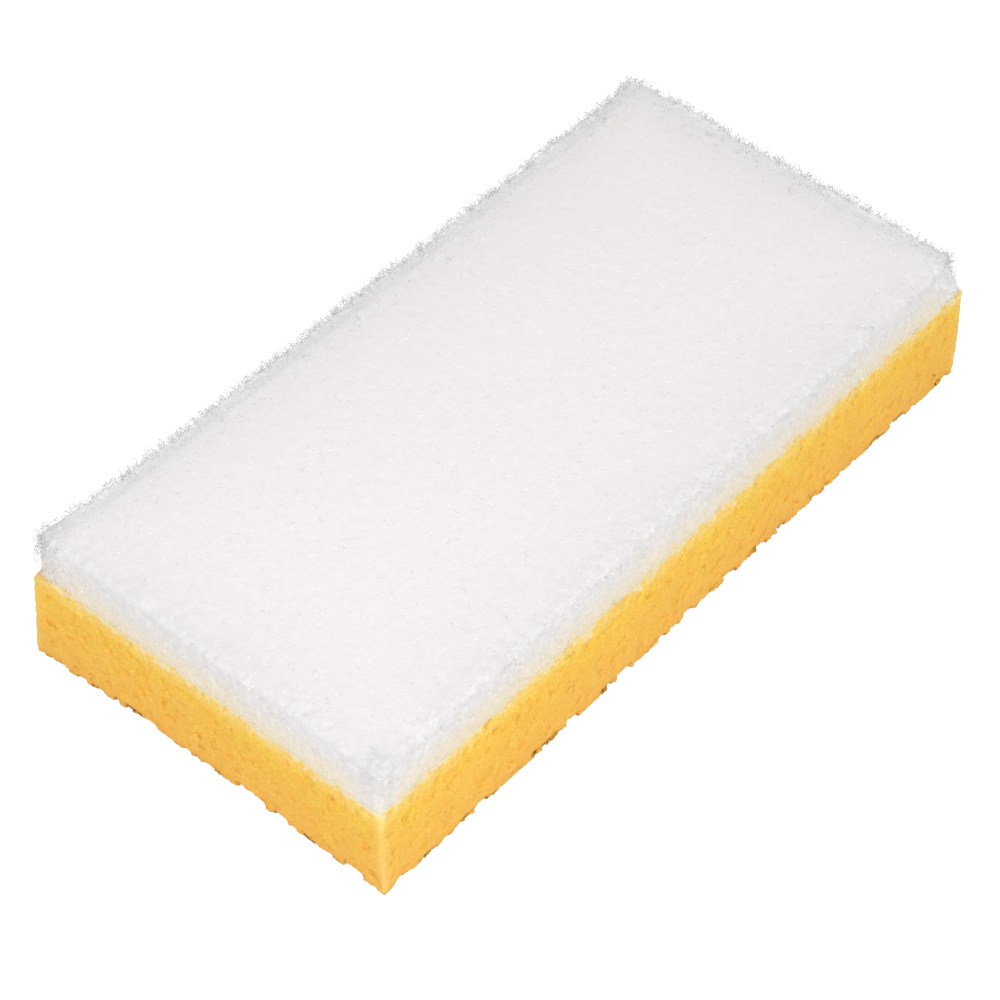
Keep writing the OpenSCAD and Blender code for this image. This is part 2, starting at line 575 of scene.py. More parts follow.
def settle(points):
    """The points moved from the even CAD shape to the pad's soft one. Its mass, its fibres
    and its beads all move by this."""
    _, out = pad_surface(points)
    upper = height_share(points, UPPER_RISE)
    edge = edge_share(points) * upper
    x_gap, y_gap = (PAD_HIGH[:2] - points[:, :2]).T
    left = (points[:, 0] < 0) & (points[:, 1] > 0)
    kept = corner_share(points) * np.where(side_corners(points), 1, SHRINK_CORNER_LOSS)
    kept = np.maximum(kept, corner_share(points, LEFT_REACH) * left)
    at_end = smoothstep(-END_BLUR, END_BLUR, y_gap - x_gap)
    shrink = (SHRINK_SIDE + (SHRINK_END - SHRINK_SIDE) * at_end) * worn_and_shaded_side(points) * (1 - kept)
    roll = 4 * out[:, 2] ** 2 * (1 - out[:, 2] ** 2)
    swell = (SWELL - shrink) * edge + SQUARING * roll - THINNING * upper
    swell += sum(waves.at(points) for waves in EDGE_WAVES) * edge + TOP_WAVES.at(points) * upper
    moved = points + out * swell[:, None]
    moved[:, 2] -= SINK * border_share(points) ** 2 * height_share(points, SINK_RISE)
    bulge = END_BULGE * np.exp(-((points[:, 1] - BULGE_Y) / BULGE_REACH) ** 2) * upper
    moved[:, 0] += bulge * smoothstep(*BULGE_INSIDE, x_gap)
    rise = height_share(points, PULL_RISE)
    low, high = np.where(left[:, None], PULL_LEFT, PULL_RIGHT).T
    pull = (low + (high - low) * rise) * side_corner(points) * DIAGONAL
    moved[:, :2] -= np.sign(points[:, :2]) * pull[:, None]
    moved[:, 2] -= corner_drop(points) * (1 - rise)
    return moved


def make_pad_mass():
    """The dense felt under the loose fibres, with a ragged skirt that hangs over the foam's
    top edge and a hem tucked in behind that edge."""
    piece = skin_of("scouring_pad", "scouring_pad_mass", PAD_VOXEL)
    mesh = piece.data
    points, normals = vertex_array(mesh), vertex_array(mesh, "normal")
    lump = FACE_LUMPS + EDGE_LUMPS * edge_share(points) * (1 + worn_and_shaded_side(points))
    lump *= LUMPS.at(points) * height_share(points, LUMPY_RISE)
    skirt = height_share(points, SKIRT_RISE) * smoothstep(*SKIRT_INSIDE, inside_pad(points))
    hang = (HANG + HANG_WAVES.at(points * FLATTEN)) * skirt
    push = SKIRT_OUT * skirt - HEM_IN * height_share(points, HEM_RISE)
    _, out = pad_surface(points)
    points = settle(points) + normals * lump[:, None]
    points[:, 2] -= hang
    points[:, :2] += out[:, :2] * push[:, None]
    move_vertices(mesh, points)
    thin_to(piece, PAD_TRIANGLES)
    add_pad_tone(piece.data)
    shade_smooth(piece.data)
    return piece


# ---------------------------------------- the pad's fibres

# The pad's zones are the middle of its top, the top's border, the roll and the walls.
FLAT_FACING, WALL_FACING = 0.97, 0.25
BORDER_WIDTH = 10 * MM
BORDER_BLUR = 4 * MM
WALL_SHARE = 0.6
LOW_END, LOW_END_LOSS = mm(14, 4), 0.5
TRIES_PER_PLACE = 4
LANDING_STEPS = 3


def unit(vectors):
    return vectors / np.maximum(np.linalg.norm(vectors, axis=-1, keepdims=True), 1e-12)


def on_pad(points):
    """The points moved onto the pad's outer surface, and the direction out of it at each."""
    for _ in range(LANDING_STEPS):
        distance, out = pad_surface(points)
        points = points - out * distance[:, None]
    return points, out


def pad_candidates(random, total, lowest):
    """Points spread evenly over the pad's outer surface down to lowest, and the direction
    out of the surface at each."""
    half = PAD_HIGH[:2]
    height = PAD_HIGH[2] - lowest
    wall_area, top_area = 4 * half.sum() * height, 4 * half[0] * half[1]
    u, v, side = random.random((3, total)) * 2 - 1
    sign = np.where(random.random(total) < 0.5, -1, 1)
    on_long_wall = (side + 1) / 2 < half[0] / half.sum()
    wall_points = np.where(
        on_long_wall[:, None],
        np.stack([u * half[0], sign * half[1]], axis=1),
        np.stack([sign * half[0], u * half[1]], axis=1),
    )
    wall_points = np.column_stack([wall_points, lowest + (v + 1) / 2 * height])
    top_points = np.stack([u * half[0], v * half[1], np.full(total, PAD_HIGH[2])], axis=1)
    is_wall = random.random(total) < wall_area / (wall_area + top_area)
    return on_pad(np.where(is_wall[:, None], wall_points, top_points))


def pad_points(random, count, chances, lowest, front):
    """Random places on the pad's outer surface and the direction out of each. The chances
    keep a place on the middle of the top, its border, the roll and the walls in turn;
    lowest is where the walls start, and front is the share kept on the less worn sides."""
    points, out = np.empty((0, 3)), np.empty((0, 3))
    while len(points) < count:
        new_points, new_out = pad_candidates(random, count * TRIES_PER_PLACE, lowest)
        inside = inside_pad(new_points) + random.uniform(-1, 1, len(new_points)) * BORDER_BLUR
        flat, upright = new_out[:, 2] > FLAT_FACING, new_out[:, 2] < WALL_FACING
        zone = np.select([flat & (inside > BORDER_WIDTH), flat, upright], [0, 1, 3], 2)
        share = np.where(zone == 0, 1, front + (1 - front) * worn_and_shaded_side(new_points) ** 2)
        share *= np.where(zone == 3, WALL_SHARE, 1)
        low_end = smoothstep(*LOW_END, new_points[:, 0] + PAD_HIGH[0])
        share *= 1 - LOW_END_LOSS * low_end * (zone > 0) * (1 - side_corner(new_points))
        keep = random.random(len(new_points)) < np.array(chances)[zone] * share
        points = np.concatenate([points, new_points[keep]])
        out = np.concatenate([out, new_out[keep]])
    return points[:count], out[:count]


# The lean of a curl's axis away from straight out, in radians, when the curl stands on edge
# and when it lies flat, and how its size, growth and rise vary.
LEAN_STANDING, LEAN_LYING = (0.9, 1.6), (0, 0.45)
CURL_SIZES = (0.6, 1.35)
CURL_GROWTH = (0.6, 1.7)
CURL_RISE = 0.3


def curl_paths(random, centre, out, steps, radius, upright, sweep):
    """Short curls of fibre, each an arc of a loose spiral round its own axis. upright is the
    share of them that stand on edge, and sweep is the least and most of a turn."""
    count = len(centre)
    flat = unit(np.cross(out, random.normal(size=(count, 3))))
    stands = random.random(count) < upright
    lean = np.where(stands, random.uniform(*LEAN_STANDING, count), random.uniform(*LEAN_LYING, count))
    axis = out * np.cos(lean)[:, None] + flat * np.sin(lean)[:, None]
    across = unit(np.cross(axis, random.normal(size=(count, 3))))
    onward = np.cross(axis, across)
    size = radius * random.uniform(*CURL_SIZES, count)
    growth = random.uniform(*CURL_GROWTH, count)
    turn = random.uniform(*sweep, count) * 2 * math.pi
    t = np.linspace(0, 1, steps + 1)[None, :]
    angle = random.uniform(0, 2 * math.pi, count)[:, None] + turn[:, None] * t
    reach = size[:, None] * growth[:, None] ** (t - 0.5)
    rise = random.normal(0, CURL_RISE, count)[:, None] * size[:, None] * (t - 0.5)
    return (centre[:, None]
            + across[:, None] * (reach * np.cos(angle))[..., None]
            + onward[:, None] * (reach * np.sin(angle))[..., None]
            + axis[:, None] * rise[..., None])


LEAST_BEND = 0.05  # so that a straight hair has a length too


def hair_paths(random, root, out, steps, length, spread, bend):
    """Loose fibre ends: each leaves its root roughly straight out and bends to one side,
    through at most that many quarter turns."""
    count = len(root)
    ahead = unit(out + random.normal(0, spread, (count, 3)))
    aside = unit(np.cross(ahead, random.normal(size=(count, 3))))
    size = length[0] + (length[1] - length[0]) * random.random(count) ** 2
    curve = random.uniform(0, bend, count)[:, None] * math.pi / 2
    t = np.linspace(0, 1, steps + 1)[None, :]
    along = size[:, None] * np.sin(t * curve) / np.maximum(curve, LEAST_BEND * math.pi / 2)
    sideways = size[:, None] * (1 - np.cos(t * curve))
    return root[:, None] + ahead[:, None] * along[..., None] + aside[:, None] * sideways[..., None]


TUBE_SIDES = 3
TUBE_TIP = 0.45


def tubes(name, paths, radii):
    """One mesh of closed tubes, one along each path, which taper at both ends."""
    count, rings, _ = paths.shape
    sides = np.arange(TUBE_SIDES)
    ahead = unit(np.gradient(paths, axis=1))
    random = np.random.default_rng(SEED + count)
    lean = unit(random.normal(size=(count, 1, 3)))
    across = unit(lean - ahead * np.sum(ahead * lean, axis=2, keepdims=True))
    up = np.cross(ahead, across)
    taper = np.ones(rings)
    taper[[0, -1]] = TUBE_TIP
    size = radii[:, None] * taper[None, :]
    angle = sides * 2 * math.pi / TUBE_SIDES
    ring = (across[:, :, None] * np.cos(angle)[None, None, :, None]
            + up[:, :, None] * np.sin(angle)[None, None, :, None])
    vertices = (paths[:, :, None] + ring * size[:, :, None, None]).reshape(-1, 3)
    first = (np.arange(count) * rings * TUBE_SIDES)[:, None, None]
    level = (np.arange(rings - 1) * TUBE_SIDES)[None, :, None]
    following = (sides + 1) % TUBE_SIDES
    quads = np.stack([
        first + level + sides, first + level + following,
        first + level + TUBE_SIDES + following, first + level + TUBE_SIDES + sides,
    ], axis=-1).reshape(-1)
    start = (first[:, 0] + sides[::-1]).reshape(-1)
    end = (first[:, 0] + (rings - 1) * TUBE_SIDES + sides).reshape(-1)
    counts = [4] * (len(quads) // 4) + [TUBE_SIDES] * (2 * count)
    return mesh_of(name, vertices, np.concatenate([quads, start, end]), np.array(counts))


def make_fibres(random, group, paths):
    radii = random.uniform(*group.thickness, group.count) * MM
    piece = add_object(group.name, tubes(group.name, paths, radii))
    add_pad_tone(piece.data)
    return piece


class Curls(NamedTuple):
    """A group of curls. Its lengths are in millimetres."""
    name: str
    count: int
    chances: tuple    # of a place on the middle of the top, its border, the roll, the walls
    front: float      # the share kept on the less worn sides
    lift: tuple       # least and most height of a curl's centre above the pad's surface
    radius: float
    upright: float    # the share that stand on edge
    sweep: tuple      # least and most of a turn that a curl makes
    thickness: tuple  # least and most radius of the fibre
    steps: int = 5
    hangs: bool = False


class Ends(NamedTuple):
    """A group of loose ends. Its lengths are in millimetres."""
    name: str
    count: int
    chances: tuple
    front: float
    length: tuple
    spread: float     # how widely they point
    bend: float       # the most quarter turns that one bends through
    thickness: tuple
    steps: int


CURLS = (
    Curls("pad_fibre_top", 3200, (1, 0.6, 0.2, 0), 1,
          (-0.15, 0.0), 0.70, 0.05, (0.2, 0.7), (0.030, 0.048)),
    Curls("pad_fibre_wall", 5200, (0, 0.08, 0.25, 1), 0.75,
          (-0.20, 0.02), 0.55, 0.12, (0.25, 0.8), (0.032, 0.055)),
    Curls("pad_fibre_rim", 4200, (0, 0.8, 0.9, 0.7), 0.08,
          (-0.20, 0.25), 0.50, 0.45, (0.3, 0.8), (0.035, 0.06)),
    Curls("pad_fibre_loops", 3700, (0, 0.06, 1, 1), 0,
          (0.0, 1.7), 0.85, 0.85, (0.35, 1.0), (0.065, 0.105), steps=6),
    Curls("pad_fibre_foot", 1400, (0, 0, 0, 1), 1,
          (0.30, 0.55), 0.55, 0.10, (0.2, 0.7), (0.045, 0.075), hangs=True),
)
ENDS = Ends("pad_fibre_ends", 2800, (0, 0.1, 1, 0.7), 0.03, (0.6, 3.4), 0.65, 1.5, (0.055, 0.09), 3)
CURL_SEED, ENDS_SEED, BEAD_SEED = SEED + 100, SEED + 200, SEED + 300
FRONT_LIFT = 0.3
HANG_LOWEST, HANG_HIGHEST = mm(-1.2, 2.5)
HANG_DROOP = 0.5
END_ROOT = 0.2 * MM
DROOP_LEAST = 0.62 * MM
DROOP_MORE = 0.68 * MM


def droop(points):
    """How far the white fibre hangs over the foam's edge, most at the low end of X."""
    return DROOP_LEAST + DROOP_MORE * (0.5 - points[:, 0] / (FOAM_HIGH[0] - FOAM_LOW[0]))


def curl_centres(random, group):
    """The centres of a group's curls, and the direction out of the pad at each. Those of a
    group that hangs lie across the bond line."""
    lowest = BOND_Z + HANG_LOWEST * group.hangs
    centre, out = pad_points(random, group.count, group.chances, lowest, group.front)
    if group.hangs:
        centre[:, 2] = BOND_Z + random.uniform(HANG_LOWEST, HANG_HIGHEST, group.count)
        centre[:, 2] -= droop(centre) * HANG_DROOP
    lift = random.uniform(*group.lift, group.count) * (FRONT_LIFT + (1 - FRONT_LIFT) * worn_and_shaded_side(centre))
    if group.hangs:
        lift = random.uniform(*group.lift, group.count)
    return settle(centre) + out * (lift * MM)[:, None], out


def make_curls(group, seed):
    random = np.random.default_rng(seed)
    centre, out = curl_centres(random, group)
    paths = curl_paths(random, centre, out, group.steps, group.radius * MM, group.upright, group.sweep)
    return make_fibres(random, group, paths)


def make_ends(group, seed):
    random = np.random.default_rng(seed)
    root, out = pad_points(random, group.count, group.chances, BOND_Z, group.front)
    root = settle(root) - out * END_ROOT
    length = np.array(group.length) * MM
    paths = hair_paths(random, root, out, group.steps, length, group.spread, group.bend)
    return make_fibres(random, group, paths)


def make_all_fibres():
    pieces = [make_curls(group, CURL_SEED + k) for k, group in enumerate(CURLS)]
    return pieces + [make_ends(ENDS, ENDS_SEED)]


BEAD_COUNT = 3200
BEAD_CHANCES = (0.55, 1, 1, 1)
BEAD_LIFT = mm(-0.3, 0)
BEAD_SIZES, BEAD_STRETCH = mm(0.18, 0.38), (0.8, 1.2)
BEAD_CORNERS = np.concatenate([np.eye(3), -np.eye(3)])
BEAD_FACES = np.array([
    [0, 1, 2], [1, 3, 2], [3, 4, 2], [4, 0, 2], [1, 0, 5], [3, 1, 5], [4, 3, 5], [0, 4, 5],
])


def make_beads():
    """Drops of set resin that bind the fibres: octahedra under a millimetre across."""
    random = np.random.default_rng(BEAD_SEED)
    centre, out = pad_points(random, BEAD_COUNT, BEAD_CHANCES, BOND_Z, 1)
    centre = settle(centre) + out * random.uniform(*BEAD_LIFT, BEAD_COUNT)[:, None]
    size = random.uniform(*BEAD_SIZES, (BEAD_COUNT, 1, 1))
    size = size * random.uniform(*BEAD_STRETCH, (BEAD_COUNT, 1, 3))
    vertices = (centre[:, None] + BEAD_CORNERS[None] * size).reshape(-1, 3)
    first = (np.arange(BEAD_COUNT) * len(BEAD_CORNERS))[:, None, None]
    corners = (BEAD_FACES[None] + first).reshape(-1)
    mesh = mesh_of("pad_resin_beads", vertices, corners, np.full(len(corners) // 3, 3))
    shade_smooth(mesh)
    return add_object("pad_resin_beads", mesh)


# ---------------------------------------- materials

# A socket's id_data is the tree that it is in.

def plug(socket, value):
    """Links a socket to the given one, or sets it to the given plain value."""
    if isinstance(value, bpy.types.NodeSocket):
        socket.id_data.links.new(value, socket)
    else:
        socket.default_value = value


def plug_all(made, inputs):
    """Plugs a node's inputs by their names, with _ for a space."""
    for key, value in inputs.items():
        plug(made.inputs[key.replace("_", " ")], value)


def node(tree, kind, **inputs):
    made = tree.nodes.new(kind)
    plug_all(made, inputs)
    return made


def material(name, **inputs):
    """A new material, its node tree, and its Principled node with those inputs."""
    made = bpy.data.materials.new(name)
    made.use_nodes = True
    shader = made.node_tree.nodes["Principled BSDF"]
    plug_all(shader, inputs)
    return made, made.node_tree, shader


def maths(operation, first, *others):
    made = first.id_data.nodes.new("ShaderNodeMath")
    made.operation = operation
    for socket, value in zip(made.inputs, (first, *others)):
        plug(socket, value)
    return made.outputs[0]


def times(first, *others):
    for value in others:
        first = maths("MULTIPLY", first, value)
    return first


def scaled(value, factor, offset):
    return maths("MULTIPLY_ADD", value, factor, offset)


def blend(share, a, b):
    """The colour a, moving to b as share goes from 0 to 1."""
    made = share.id_data.nodes.new("ShaderNodeMix")
    made.data_type = "RGBA"
    plug(made.inputs["Factor"], share)
    plug(made.inputs["A"], a)
    plug(made.inputs["B"], b)
    return made.outputs["Result"]


def ramp(value, low, high):
    """0 where value is at low and 1 where it is at high, and straight between."""
    made = node(value.id_data, "ShaderNodeMapRange", Value=value, From_Min=low, From_Max=high)
    return made.outputs[0]


def mottle(place, size, low=0.35, high=0.65, detail=2.0):
    """Noise with features about size across, stretched to run from 0 to 1."""
    noise = node(place.id_data, "ShaderNodeTexNoise", Vector=place, Scale=1 / size, Detail=detail)
    return ramp(noise.outputs[0], low, high)


def bump(shader, height, distance, strength):
    made = node(shader.id_data, "ShaderNodeBump", Height=height, Distance=distance, Strength=strength)
    plug(shader.inputs["Normal"], made.outputs[0])


def object_place(tree):
    return tree.nodes.new("ShaderNodeTexCoord").outputs["Object"]


def island_random(tree):
    """A number from 0 to 1 that is another one on each strand or bead."""
    return tree.nodes.new("ShaderNodeNewGeometry").outputs["Random Per Island"]


def tone_channels(tree):
    """The three numbers that add_tone stored."""
    attribute = tree.nodes.new("ShaderNodeAttribute")
    attribute.attribute_name = "tone"
    return node(tree, "ShaderNodeSeparateColor", Color=attribute.outputs["Color"]).outputs


class Speckles(NamedTuple):
    """Patches of another colour: their size, the part of the noise's range that they fade in
    over, their strength and colour, and the noise's detail."""
    size: float
    low: float
    high: float
    strength: float
    colour: tuple
    detail: float = 2.0


def speckled(place, colour, speckles, amount=1.0):
    """The colour with each kind of speckles over it in turn, by that amount."""
    for kind in speckles:
        share = mottle(place, kind.size, kind.low, kind.high, kind.detail)
        colour = blend(times(share, amount, kind.strength), colour, kind.colour)
    return colour


# The bond's ragged edge: its noises' sizes, how far each one moves it up or down, the part of
# their range that is used, and the heights over which foam turns to fibre.
COARSE_RAG, COARSE_RAG_HEIGHT = mm(6, 1.3)
FINE_RAG, FINE_RAG_HEIGHT = mm(1.8, 2.2)
RAG_RANGE = (0.3, 0.7)
RAG_FADE = mm(-0.6, 0.9)


def bond_white(place):
    """1 on the white fibre and 0 on the foam, with a ragged edge between them that lies as far
    below the bond line as droop says."""
    split = node(place.id_data, "ShaderNodeSeparateXYZ", Vector=place).outputs
    length = float(FOAM_HIGH[0] - FOAM_LOW[0])
    hang = scaled(split["X"], -DROOP_MORE / length, DROOP_LEAST + DROOP_MORE / 2)
    above = maths("ADD", maths("SUBTRACT", split["Z"], float(BOND_Z)), hang)
    coarse = mottle(place, COARSE_RAG, *RAG_RANGE)
    coarse = scaled(coarse, 2 * COARSE_RAG_HEIGHT, -COARSE_RAG_HEIGHT)
    fine = mottle(place, FINE_RAG, *RAG_RANGE, 3.0)
    fine = scaled(fine, 2 * FINE_RAG_HEIGHT, -FINE_RAG_HEIGHT)
    ragged = maths("ADD", above, maths("ADD", coarse, fine))
    return ramp(ragged, *RAG_FADE)


# The foam's colour low down, half way up and near the bond, and the mottled steps from one
# to the next, over shares of the block's height. Its darker, duller colour low down is
# partly painted shade.
FOAM_LOW_TONE = (0.905, 0.515, 0.105, 1)
FOAM_MIDDLE_TONE = (0.985, 0.588, 0.090, 1)
FOAM_HIGH_TONE = (0.995, 0.68, 0.066, 1)
FOAM_LOW_STEP, FOAM_HIGH_STEP = (0.15, 0.75), (0.75, 1.15)
FOAM_STEP_BLUR, FOAM_STEP_MOTTLE = 0.25, 6 * MM

# Pale walls of cells, their dark grain, and two sizes of orange patches.
FOAM_SPECKLES = (
    Speckles(0.8 * MM, 0.45, 0.80, 0.30, (0.955, 0.68, 0.22, 1)),
    Speckles(0.55 * MM, 0.42, 0.66, 0.75, (0.83, 0.42, 0.055, 1), 3.0),
    Speckles(4.5 * MM, 0.50, 0.70, 0.42, (0.93, 0.46, 0.06, 1)),
    Speckles(2.6 * MM, 0.56, 0.70, 0.55, (0.88, 0.40, 0.04, 1)),
)

# Painted shade where the foam is hollow, a painted highlight down its upright corners, painted
# shade over its foot, a painted shadow along its lowest edge, painted shade on its
# downward-facing places near the foot, and the pale band under the bond.
HOLLOW_SHADE_TONE, HOLLOW_SHADE_STRENGTH = (0.90, 0.40, 0.03, 1), 0.28
CORNER_HIGHLIGHT_TONE, CORNER_LEAST, CORNER_MORE, CORNER_MOTTLE = (0.96, 0.72, 0.29, 1), 0.15, 0.35, 1.2 * MM
FOOT_SHADE_TONE, FOOT_SHADE_STRENGTH, FOOT_HEIGHT = (0.86, 0.40, 0.07, 1), 0.35, (0.16, 0.0)
LOWEST_SHADOW_TONE, LOWEST_SHADOW_STRENGTH, LOWEST_HEIGHT = (0.58, 0.31, 0.08, 1), 0.6, (0.045, 0.0)
UNDERSIDE_SHADE_TONE, UNDERSIDE_SHADE_STRENGTH, UNDERSIDE_SHADE_HOLLOW = (0.50, 0.26, 0.06, 1), 0.75, (0.7, 1.7)
BAND_TONE, BAND_STRENGTH, BAND_HEIGHT = (0.97, 0.76, 0.34, 1), 0.75, (0.80, 0.97)
LOWEST_MOTTLE, BAND_MOTTLE, BROKEN = 1.5 * MM, 1.4 * MM, (0.2, 0.7)
FOAM_BOND = (0.90, 0.745, 0.43, 1)


def foam_material():
    made, tree, shader = material(
        "yellow_foam", Roughness=0.85, Specular_IOR_Level=0.2, Subsurface_Weight=0.5,
        Subsurface_Radius=(1.0, 0.6, 0.2), Subsurface_Scale=0.9 * MM,
    )
    place = object_place(tree)
    hollow, height, corner = tone_channels(tree)
    rise = scaled(mottle(place, FOAM_STEP_MOTTLE), FOAM_STEP_BLUR, height)
    # Darker and duller towards the foot, partly as painted shade.
    colour = blend(ramp(rise, *FOAM_LOW_STEP), FOAM_LOW_TONE, FOAM_MIDDLE_TONE)
    colour = blend(ramp(rise, *FOAM_HIGH_STEP), colour, FOAM_HIGH_TONE)
    colour = speckled(place, colour, FOAM_SPECKLES)
    # Painted shade in the pits and on the undersides near the foot.
    colour = blend(times(hollow, HOLLOW_SHADE_STRENGTH), colour, HOLLOW_SHADE_TONE)
    # A painted highlight down the upright corners.
    pale = scaled(mottle(place, CORNER_MOTTLE), CORNER_MORE, CORNER_LEAST)
    colour = blend(times(corner, pale), colour, CORNER_HIGHLIGHT_TONE)
    # Painted shade over the foot, and a painted shadow along the lowest edge.
    foot = ramp(height, *FOOT_HEIGHT)
    colour = blend(times(foot, FOOT_SHADE_STRENGTH), colour, FOOT_SHADE_TONE)
    lowest, broken = ramp(height, *LOWEST_HEIGHT), mottle(place, LOWEST_MOTTLE, *BROKEN)
    colour = blend(times(lowest, broken, LOWEST_SHADOW_STRENGTH), colour, LOWEST_SHADOW_TONE)
    # Painted shade on the downward-facing undersides near the foot.
    torn = ramp(hollow, *UNDERSIDE_SHADE_HOLLOW)
    colour = blend(times(torn, UNDERSIDE_SHADE_STRENGTH), colour, UNDERSIDE_SHADE_TONE)
    band, broken = ramp(height, *BAND_HEIGHT), mottle(place, BAND_MOTTLE, *BROKEN)
    colour = blend(times(band, broken, BAND_STRENGTH), colour, BAND_TONE)
    colour = blend(bond_white(place), colour, FOAM_BOND)
    plug(shader.inputs["Base Color"], colour)
    bump(shader, mottle(place, 0.45 * MM, 0.2, 0.8, 3.0), 0.12 * MM, 0.4)
    return made


class Tones(NamedTuple):
    """The pad's colours at the foot of its walls, on the grey border of its less worn sides
    and of its worn ones, which is partly painted shade, and the cool white of its worn sides,
    which is painted shade."""
    foot: tuple
    front_rim_shade: tuple
    worn_rim_shade: tuple
    cool_shade_white: tuple


MASS_TONES = Tones(
    (0.79, 0.675, 0.455, 1), (0.645, 0.634, 0.642, 1), (0.825, 0.828, 0.85, 1), (0.97, 0.972, 0.985, 1),
)
STRAND_TONES = Tones(
    (0.93, 0.835, 0.61, 1), (0.81, 0.80, 0.815, 1), (0.955, 0.965, 0.99, 1), (0.975, 0.98, 0.995, 1),
)
FOAM_EDGE = (0.97, 0.63, 0.105, 1)
WARM_MOTTLE, WARM_RANGE, WARM_MORE, WARM_LEAST = 0.7 * MM, (0.38, 0.62), 0.75, 0.55
WARM_COOL_LOSS = 0.7


def fibre_colours(tree, place, base, tones):
    """The pad's whites: base, grey on its border, which is partly painted shade, cooler by
    its worn sides as painted shade, warmer at the foot, and yellow where the foam shows below
    the ragged bond line."""
    rim, foot, cool = tone_channels(tree)
    # Painted shade: a cool white by the worn sides, and grey on the rim, on the walls of the less worn
    # sides and by the corners.
    colour = blend(cool, base, tones.cool_shade_white)
    colour = blend(rim, colour, blend(cool, tones.front_rim_shade, tones.worn_rim_shade))
    specks = mottle(place, WARM_MOTTLE, *WARM_RANGE, 3.0)
    warm = scaled(specks, WARM_MORE, WARM_LEAST)
    warm = times(foot, warm, scaled(cool, -WARM_COOL_LOSS, 1))
    colour = blend(warm, colour, tones.foot)
    return blend(bond_white(place), FOAM_EDGE, colour)


# The mass's own white, its soft shadows all over, and the grey grain and white clumps of its
# rim and worn sides.
MASS_WHITES = (0.925, 0.878, 0.878, 1), (0.935, 0.888, 0.888, 1)
MASS_MOTTLE = 4 * MM
MASS_SPECKLES = (
    Speckles(0.9 * MM, 0.50, 0.80, 0.50, (0.88, 0.84, 0.84, 1)),
    Speckles(1.8 * MM, 0.40, 0.75, 0.45, (0.87, 0.83, 0.83, 1)),
)
RIM_SPECKLES = (
    Speckles(0.5 * MM, 0.42, 0.66, 0.50, (0.73, 0.73, 0.745, 1), 3.0),
    Speckles(1.6 * MM, 0.45, 0.70, 0.45, (0.97, 0.97, 0.985, 1)),
)
RIM_SPECKLE_LEAST = 0.1


def mass_material():
    made, tree, shader = material(
        "white_fibre_mass", Roughness=0.8, Specular_IOR_Level=0.15,
        Sheen_Weight=0.6, Sheen_Roughness=0.5,
    )
    place = object_place(tree)
    base = blend(mottle(place, MASS_MOTTLE), *MASS_WHITES)
    base = speckled(place, base, MASS_SPECKLES)
    colour = fibre_colours(tree, place, base, MASS_TONES)
    rim, _, cool = tone_channels(tree)
    rough = maths("MAXIMUM", rim, cool)
    rough = scaled(rough, 1 - RIM_SPECKLE_LEAST, RIM_SPECKLE_LEAST)
    colour = speckled(place, colour, RIM_SPECKLES, rough)
    plug(shader.inputs["Base Color"], colour)
    bump(shader, mottle(place, 0.9 * MM, 0.2, 0.8, 3.0), 0.20 * MM, 0.35)
    return made


STRAND_WHITES = (0.955, 0.93, 0.93, 1), (0.99, 0.97, 0.97, 1)
BEAD_WHITES = (0.94, 0.93, 0.93, 1), (1, 1, 1, 1)


def strand_material():
    made, tree, shader = material(
        "white_fibre_strands", Roughness=0.6, Specular_IOR_Level=0.3,
        Sheen_Weight=0.5, Sheen_Roughness=0.6,
    )
    base = blend(island_random(tree), *STRAND_WHITES)
    plug(shader.inputs["Base Color"], fibre_colours(tree, object_place(tree), base, STRAND_TONES))
    return made


def bead_material():
    made, tree, shader = material("clear_resin_beads", Roughness=0.35, Specular_IOR_Level=0.6)
    plug(shader.inputs["Base Color"], blend(island_random(tree), *BEAD_WHITES))
    return made


# ---------------------------------------- stage, lights and camera

FLOOR_TONE = (0.85, 0.85, 0.85, 1)
WHITE = (1, 1, 1, 1)
FLOOR_LIFT = 0.6
FLOOR_SIZE = 8.0
WORLD_LEVEL = 0.62
KEY_AZIMUTH, KEY_ELEVATION = -44.5, 47
KEY_POWER = 6.95
KEY_SIZE = 0.9
KEY_DISTANCE = 1.1


def seen_rays(tree):
    """1 for the rays of the camera, of mirrors and of glass, and 0 for the light's own."""
    ray = tree.nodes.new("ShaderNodeLightPath").outputs
    seen = maths("MAXIMUM", ray["Is Camera Ray"], ray["Is Glossy Ray"])
    return maths("MAXIMUM", seen, ray["Is Transmission Ray"])


def floor_material():
    """Pale and matt for light and shadow, with a lift that only the camera, mirrors and
    glass see, so that the floor reads as white and still holds a soft shadow."""
    made, tree, shader = material(
        "stage_floor", Roughness=1, Specular_IOR_Level=0, Base_Color=FLOOR_TONE, Emission_Color=WHITE,
    )
    plug(shader.inputs["Emission Strength"], times(seen_rays(tree), FLOOR_LIFT))
    return made


def make_floor():
    corners = np.array([(-1, -1, 0), (1, -1, 0), (1, 1, 0), (-1, 1, 0)]) * FLOOR_SIZE / 2
    floor = add_object("stage_floor", mesh_of("stage_floor", corners, range(4), [4]))
    floor.location.z = cad_low[2]
    floor.data.materials.append(floor_material())
    return floor


def make_world():
    """White all round: full white where it is seen, and WORLD_LEVEL of it as light."""
    world = bpy.data.worlds.new("studio")
    world.use_nodes = True
    bpy.context.scene.world = world
    tree = world.node_tree
    background = tree.nodes["Background"]
    background.inputs["Color"].default_value = WHITE
    level = scaled(seen_rays(tree), 1 - WORLD_LEVEL, WORLD_LEVEL)
    plug(background.inputs["Strength"], level)


def direction(azimuth, elevation):
    """The direction from the object, in degrees. Azimuth 0 is in front, on the -Y side."""
    a, e = math.radians(azimuth), math.radians(elevation)
    return Vector((math.sin(a) * math.cos(e), -math.cos(a) * math.cos(e), math.sin(e)))


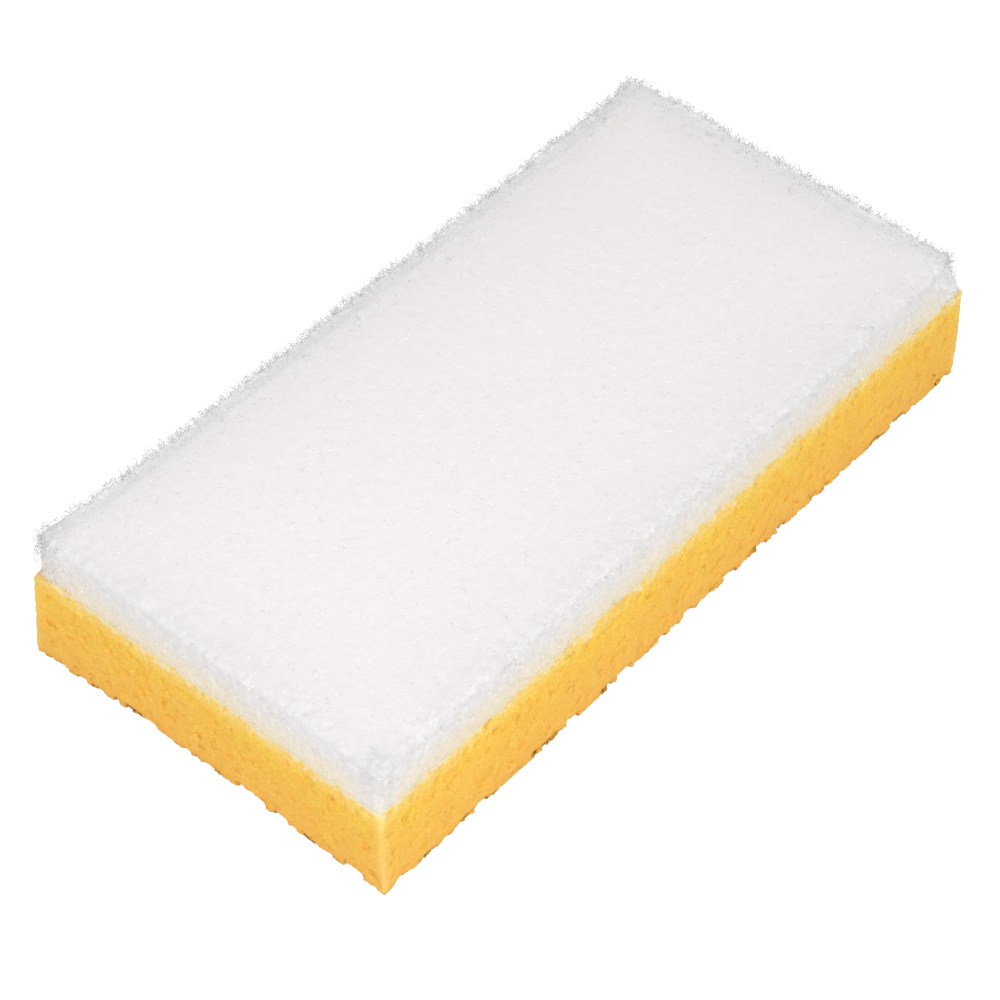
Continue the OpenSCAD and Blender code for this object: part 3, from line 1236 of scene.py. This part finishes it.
def make_key():
    """A square soft box that faces the object."""
    back = direction(KEY_AZIMUTH, KEY_ELEVATION)
    light = bpy.data.lights.new("key", "AREA")
    light.shape, light.size, light.energy = "SQUARE", KEY_SIZE, KEY_POWER
    lamp = add_object("key", light)
    lamp.location = back * KEY_DISTANCE
    lamp.rotation_mode = "QUATERNION"
    lamp.rotation_quaternion = back.to_track_quat("Z", "Y")


CAMERA_AZIMUTH = -49.4
CAMERA_ELEVATION = 47.7
CAMERA_ROLL = 0.32
CAMERA_DISTANCE = 0.8099
CAMERA_RIGHT = -4.41 * MM
CAMERA_UP = -8.87 * MM
LENS = 113.4
SENSOR = 36.0
CLIP_START, CLIP_END = 0.01, 100


def make_camera():
    """Looks past the middle of the foam block, moved a little in its own view."""
    roll = math.radians(CAMERA_ROLL)
    back = direction(CAMERA_AZIMUTH, CAMERA_ELEVATION)
    right = Vector((0, 0, 1)).cross(back).normalized()
    up = back.cross(right)
    right, up = (right * math.cos(roll) + up * math.sin(roll),
                 up * math.cos(roll) - right * math.sin(roll))
    middle = Vector(((FOAM_LOW + FOAM_HIGH) / 2).tolist())
    camera = add_object("camera", bpy.data.cameras.new("camera"))
    camera.data.lens, camera.data.sensor_width = LENS, SENSOR
    camera.location = middle + back * CAMERA_DISTANCE + right * CAMERA_RIGHT + up * CAMERA_UP
    camera.rotation_mode = "QUATERNION"
    camera.rotation_quaternion = Matrix((right, up, back)).transposed().to_quaternion()
    camera.data.clip_start, camera.data.clip_end = CLIP_START, CLIP_END
    bpy.context.scene.camera = camera


# ---------------------------------------- build

make_camera()
make_world()
make_key()

floor = make_floor()

foam_block = make_foam_block()
foam_block.data.materials.append(foam_material())
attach(foam_block, ROOT)
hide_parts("foam_block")

pad_mass = make_pad_mass()
pad_mass.data.materials.append(mass_material())
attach(pad_mass, ROOT)
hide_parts("scouring_pad")

strands = strand_material()
for fibres in make_all_fibres():
    fibres.data.materials.append(strands)
    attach(fibres, ROOT)

beads = make_beads()
beads.data.materials.append(bead_material())
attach(beads, ROOT)

bpy.context.scene.view_settings.view_transform = "Standard"
